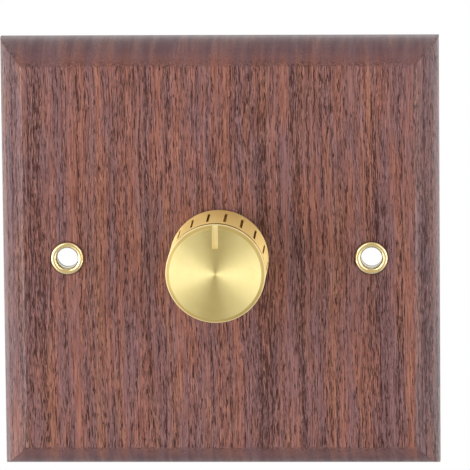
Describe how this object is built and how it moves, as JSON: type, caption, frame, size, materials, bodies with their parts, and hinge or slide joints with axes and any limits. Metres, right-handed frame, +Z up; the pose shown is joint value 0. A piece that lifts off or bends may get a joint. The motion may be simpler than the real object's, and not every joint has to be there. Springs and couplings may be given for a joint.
{
  "type": "rotary dimmer switch",
  "caption": "Square moulded-edge hardwood plate with a fluted gold rotary knob, brass-lined fixing holes and a boxed dimmer module with screw terminals behind.",
  "frame": {"origin": "middle of the plate's back, on the wall plane", "axes": "+X to the right, +Z up, +Y into the wall; the knob faces -Y"},
  "size_m": [0.087, 0.0525, 0.086],
  "materials": {
    "walnut": "satin oiled grain",
    "gold_aluminium": "spun and anodised",
    "polished_brass": "turned and polished",
    "zinc_plate": "plated",
    "steel": "plated",
    "black_moulding": "fine spark texture",
    "white_moulding": "moulded",
    "grey_moulding": "moulded",
    "phenolic": "pressed laminate",
    "circuit_green": "solder mask",
    "tinned_copper": "tinned",
    "bare_aluminium": "rolled sheet",
    "epoxy_black": "moulded epoxy",
    "powder_core": "coated iron powder",
    "enamelled_copper": "enamelled wire",
    "yellow_film": "potted box",
    "resistor_coat": "dipped",
    "blue_glass": "sealed"
  },
  "bodies": {
    "base": {"wooden_plate": "walnut", "ferrule_left": "polished_brass", "ferrule_right": "polished_brass", "threaded_bush": "zinc_plate", "bush_nut": "zinc_plate", "bush_washer": "steel", "resistor_wafer": "phenolic", "pot_terminals": "tinned_copper", "pot_can": "zinc_plate", "switch_housing": "white_moulding", "contact_ring": "polished_brass", "contact_track": "polished_brass", "module_case": "black_moulding", "module_cover": "black_moulding", "module_screws": "steel", "cover_screws": "steel", "circuit_board": "circuit_green", "triac": "epoxy_black", "heat_sink": "bare_aluminium", "triac_screw": "steel", "choke_core": "powder_core", "choke_winding": "enamelled_copper", "suppression_capacitor": "yellow_film", "timing_capacitor": "yellow_film", "resistors": "resistor_coat", "diac": "blue_glass", "terminal_block": "grey_moulding", "terminal_clamp_1": "polished_brass", "terminal_clamp_2": "polished_brass", "terminal_clamp_3": "polished_brass", "terminal_screws": "steel"},
    "knob": {"knob_shell": "gold_aluminium", "knob_core": "white_moulding", "shaft": "steel", "shaft_clip": "steel", "wiper_carrier": "white_moulding", "wiper_contact": "tinned_copper", "switch_rotor": "white_moulding", "switch_wiper": "tinned_copper"}
  },
  "joints": [
    {"name": "knob_turn", "type": "hinge", "parent": "base", "child": "knob", "pos_m": [0, 0, 0], "axis": [0, 1, 0], "range_deg": [-150, 150]}
  ]
}
